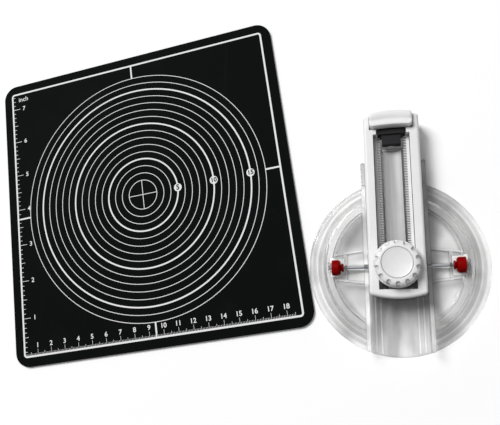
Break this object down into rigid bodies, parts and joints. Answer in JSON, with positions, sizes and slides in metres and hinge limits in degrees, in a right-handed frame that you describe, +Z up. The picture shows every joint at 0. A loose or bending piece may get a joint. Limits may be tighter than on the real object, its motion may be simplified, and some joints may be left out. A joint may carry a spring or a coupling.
{
  "type": "circle cutter with cutting mat",
  "caption": "Rotary circle cutter on a clear turntable with a sliding toothed arm, lying beside its printed square cutting mat.",
  "frame": {"origin": "centre of the whole set's box, on the table that the mat and the centre foot stand on", "axes": "+Z up from the table, +X from the mat toward the cutter, +Y from the knob toward the press pad at rest"},
  "size_m": [0.3286, 0.2266, 0.026],
  "materials": {
    "mat_black": "matte, printed in white",
    "pad_rubber": "matte",
    "foot_plastic": "satin",
    "clear_plastic": "clear, polished",
    "roller_red": "satin",
    "steel": "satin",
    "arm_white": "satin",
    "rack_white": "satin",
    "press_pad_white": "satin",
    "knob_white": "satin",
    "holder_black": "satin",
    "blade_steel": "ground and polished"
  },
  "bodies": {
    "base": {"cutting_mat": "mat_black", "pivot_pad": "pad_rubber", "pivot_foot": "foot_plastic", "pivot_screw": "steel"},
    "turntable": {"turntable_disc": "clear_plastic", "yoke_bracket": "steel", "yoke_bridge": "steel", "yoke_screw_near": "steel", "yoke_screw_far": "steel", "knob_washer": "steel", "roller_axle_left": "steel", "roller_axle_right": "steel"},
    "roller_on_left": {"roller_left": "roller_red"},
    "roller_on_right": {"roller_right": "roller_red"},
    "arm": {"arm_body": "arm_white", "rack_left": "rack_white", "rack_right": "rack_white", "return_spring_left": "steel", "return_spring_right": "steel"},
    "blade_carriage": {"press_pad": "press_pad_white", "blade_holder": "holder_black", "blade_axle": "steel", "pad_screw_left": "steel", "pad_screw_right": "steel"},
    "blade": {"blade_wheel": "blade_steel"},
    "knob": {"knob_skirt": "knob_white", "knob_head": "knob_white", "knob_cap": "knob_white"},
    "clamp": {"clamp_block": "holder_black", "clamp_stud": "steel"}
  },
  "joints": [
    {"name": "turntable_spin", "type": "hinge", "parent": "base", "child": "turntable", "pos_m": [0.11228, -0.0528, 0.0032], "axis": [0, 0, 1], "continuous": true},
    {"name": "roller_left_spin", "type": "hinge", "parent": "turntable", "child": "roller_on_left", "pos_m": [0.07683, -0.0528, 0.0047], "axis": [1, 0, 0], "continuous": true},
    {"name": "roller_right_spin", "type": "hinge", "parent": "turntable", "child": "roller_on_right", "pos_m": [0.14773, -0.0528, 0.0047], "axis": [1, 0, 0], "continuous": true},
    {"name": "arm_slide", "type": "slide", "parent": "turntable", "child": "arm", "axis": [0, 1, 0], "range_m": [-0.064, 0.005]},
    {"name": "blade_press", "type": "slide", "parent": "arm", "child": "blade_carriage", "axis": [0, 0, -1], "range_m": [0, 0.0029], "stiffness_N_per_m": 600, "springref_m": -0.002, "deforming": ["return_spring_left", "return_spring_right"]},
    {"name": "blade_spin", "type": "hinge", "parent": "blade_carriage", "child": "blade", "pos_m": [0.11228, 0.0266, 0.0086], "axis": [0, 1, 0], "continuous": true},
    {"name": "knob_turn", "type": "hinge", "parent": "turntable", "child": "knob", "pos_m": [0.11228, -0.0528, 0.0189], "axis": [0, 0, -1], "range_deg": [0, 90]},
    {"name": "clamp_drop", "type": "slide", "parent": "turntable", "child": "clamp", "axis": [0, 0, -1], "range_m": [0, 0.002]}
  ],
  "couplings": [
    {"joint": "clamp_drop", "follows": "knob_turn", "m_per_rad": 0.0012732}
  ]
}
